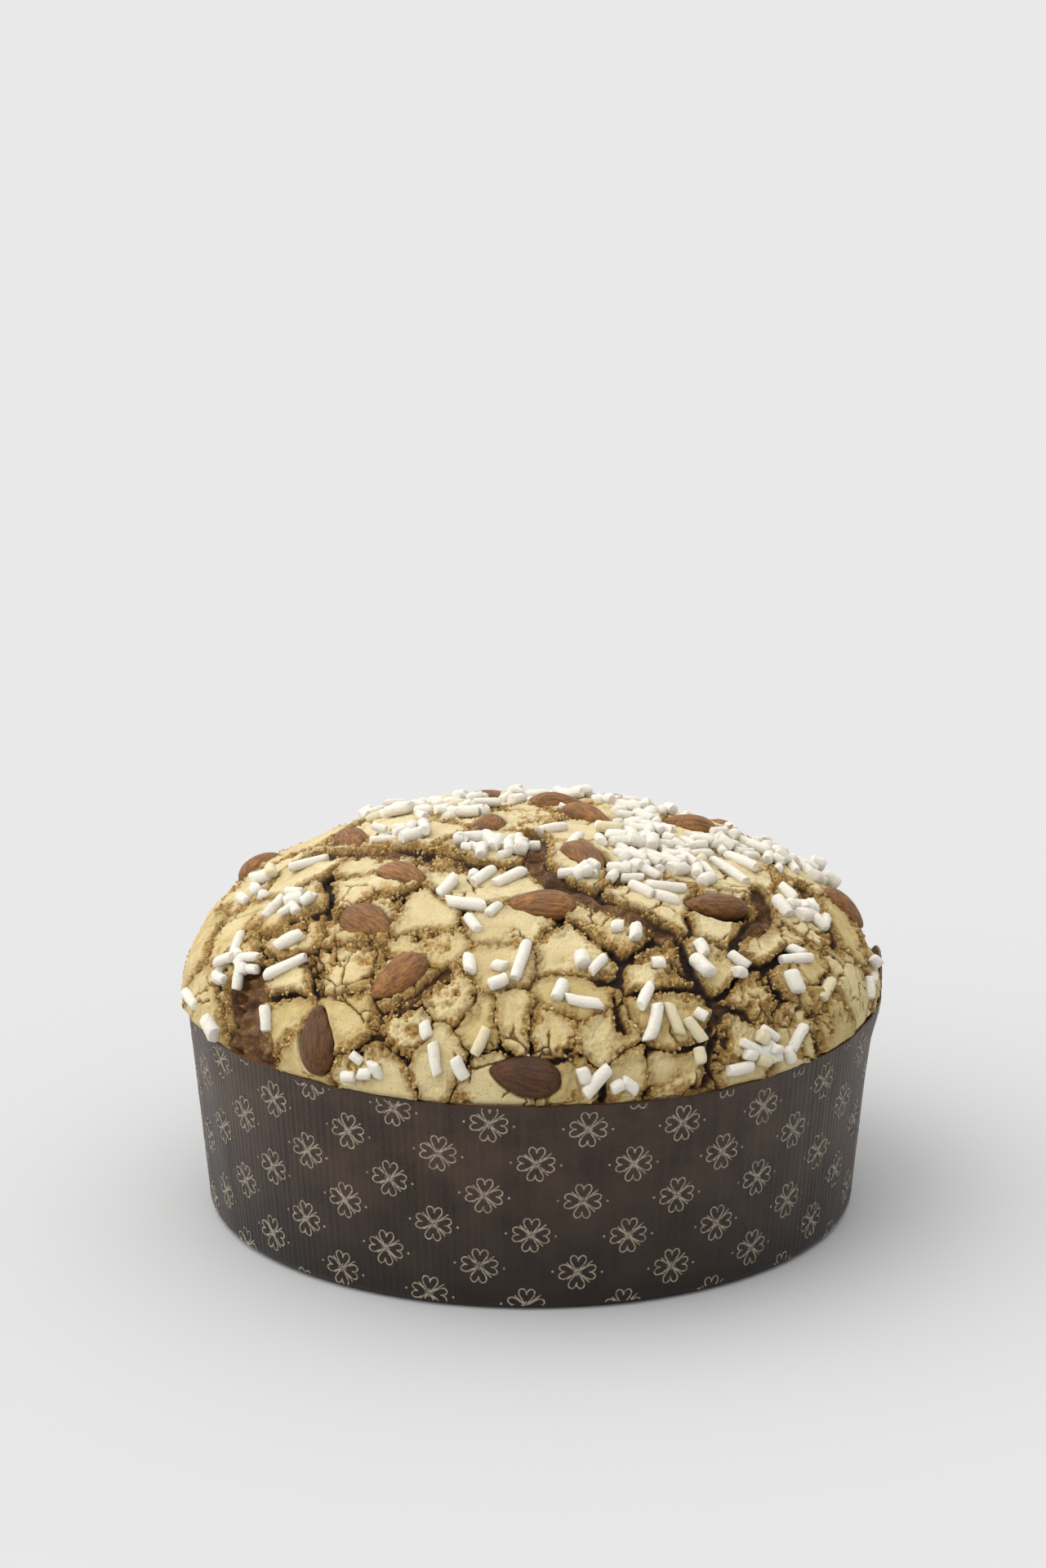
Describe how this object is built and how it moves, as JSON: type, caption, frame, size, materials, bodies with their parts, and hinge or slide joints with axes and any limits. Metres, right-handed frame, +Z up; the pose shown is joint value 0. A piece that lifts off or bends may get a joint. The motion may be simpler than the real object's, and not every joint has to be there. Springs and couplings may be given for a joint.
{
  "type": "panettone",
  "caption": "Low, wide panettone in a flaring paper mould, its domed top under cracked almond icing with whole almonds and sticks of white pearl sugar.",
  "frame": {"origin": "centre of the flat base, at the level of the surface it stands on", "axes": "+Z up through the middle of the dome, -Y towards the side that the picture shows"},
  "size_m": [0.2277, 0.2275, 0.1271],
  "materials": {
    "paper": "dark brown baking paper, satin, with a thin pale print",
    "icing": "matte tan almond icing, cracked, over a brown baked crust",
    "almond": "brown almond skin, dry and finely ribbed"
  },
  "bodies": {
    "root": {"paper_mould": "paper", "cake": "icing", "almond_01": "almond", "almond_02": "almond", "almond_03": "almond", "almond_04": "almond", "almond_05": "almond", "almond_06": "almond", "almond_07": "almond", "almond_08": "almond", "almond_09": "almond", "almond_10": "almond", "almond_11": "almond", "almond_12": "almond", "almond_13": "almond", "almond_14": "almond", "almond_15": "almond", "almond_16": "almond", "almond_17": "almond", "almond_18": "almond", "almond_19": "almond", "almond_20": "almond", "almond_21": "almond", "almond_22": "almond", "almond_23": "almond", "almond_24": "almond"}
  },
  "joints": []
}
